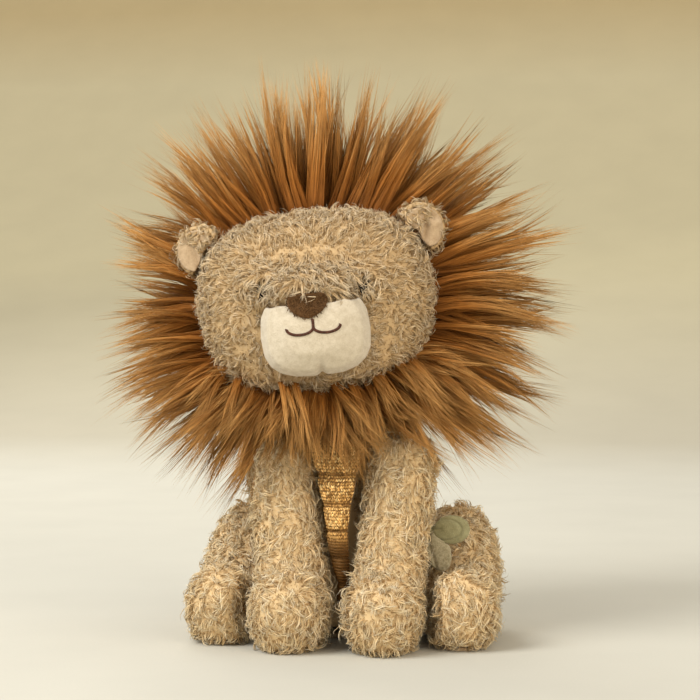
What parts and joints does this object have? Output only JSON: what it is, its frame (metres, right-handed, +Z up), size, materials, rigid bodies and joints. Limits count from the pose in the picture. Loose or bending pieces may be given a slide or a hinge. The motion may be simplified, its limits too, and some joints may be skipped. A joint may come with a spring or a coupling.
{
  "type": "plush lion",
  "caption": "Sitting plush lion in curly pile with a long-pile mane, straight front legs, splayed hind legs and a turning head.",
  "frame": {"origin": "middle of the underside of the seat panel, on the surface that the lion sits on", "axes": "+Z up, the lion faces -Y, +X is the lion's left"},
  "size_m": [0.2004, 0.1673, 0.2494],
  "materials": {
    "curly_pile": "curly tan pile over polyester fibre fill",
    "mane_pile": "long rust-brown pile with paler tips",
    "cream_velour": "short cream velour",
    "tan_velour": "short tan velour",
    "gold_knit": "golden knit gathered in rolls",
    "nose_velvet": "brown velvet",
    "dark_thread": "dark brown embroidery thread",
    "eye_plastic": "glossy near-black",
    "washer_plastic": "natural white",
    "sage_cotton": "padded sage-green cotton",
    "calico": "plain calico"
  },
  "bodies": {
    "torso": {"torso": "curly_pile", "belly_panel": "gold_knit", "seat_panel": "tan_velour", "pellet_bag": "calico", "side_leaf_upper": "sage_cotton", "side_leaf_lower": "sage_cotton"},
    "head": {"head": "curly_pile", "muzzle": "cream_velour", "nose": "nose_velvet", "mouth_stitch": "dark_thread", "eye_left": "eye_plastic", "eye_right": "eye_plastic", "eye_washer_left": "washer_plastic", "eye_washer_right": "washer_plastic", "ear_left": "curly_pile", "ear_right": "curly_pile", "ear_lining_left": "tan_velour", "ear_lining_right": "tan_velour", "mane_ruff": "mane_pile", "mane_nape": "mane_pile"},
    "front_leg_left": {"front_leg_left": "curly_pile", "front_sole_left": "tan_velour"},
    "front_leg_right": {"front_leg_right": "curly_pile", "front_sole_right": "tan_velour"},
    "hind_leg_left": {"hind_leg_left": "curly_pile", "hind_sole_left": "tan_velour"},
    "hind_leg_right": {"hind_leg_right": "curly_pile", "hind_sole_right": "tan_velour"},
    "tail": {"tail": "curly_pile", "tail_tuft": "mane_pile"}
  },
  "joints": [
    {"name": "head_turn", "type": "hinge", "parent": "torso", "child": "head", "pos_m": [-0.01, -0.006, 0.099], "axis": [0, 0, 1], "range_deg": [-12, 12], "stiffness_Nm_per_rad": 0.15},
    {"name": "shoulder_left", "type": "hinge", "parent": "torso", "child": "front_leg_left", "pos_m": [0.0252, -0.024, 0.078], "axis": [-1, 0, 0], "range_deg": [0, 15], "stiffness_Nm_per_rad": 0.4},
    {"name": "shoulder_right", "type": "hinge", "parent": "torso", "child": "front_leg_right", "pos_m": [-0.0288, -0.024, 0.078], "axis": [-1, 0, 0], "range_deg": [0, 15], "stiffness_Nm_per_rad": 0.4},
    {"name": "hip_left", "type": "hinge", "parent": "torso", "child": "hind_leg_left", "pos_m": [0.0455, 0.016, 0.0285], "axis": [0, 0, 1], "range_deg": [0, 17], "stiffness_Nm_per_rad": 0.3},
    {"name": "hip_right", "type": "hinge", "parent": "torso", "child": "hind_leg_right", "pos_m": [-0.0505, 0.016, 0.0285], "axis": [0, 0, -1], "range_deg": [0, 17], "stiffness_Nm_per_rad": 0.3},
    {"name": "tail_swing", "type": "hinge", "parent": "torso", "child": "tail", "pos_m": [0, 0.037, 0.015], "axis": [0, 0, 1], "range_deg": [-25, 20]}
  ]
}
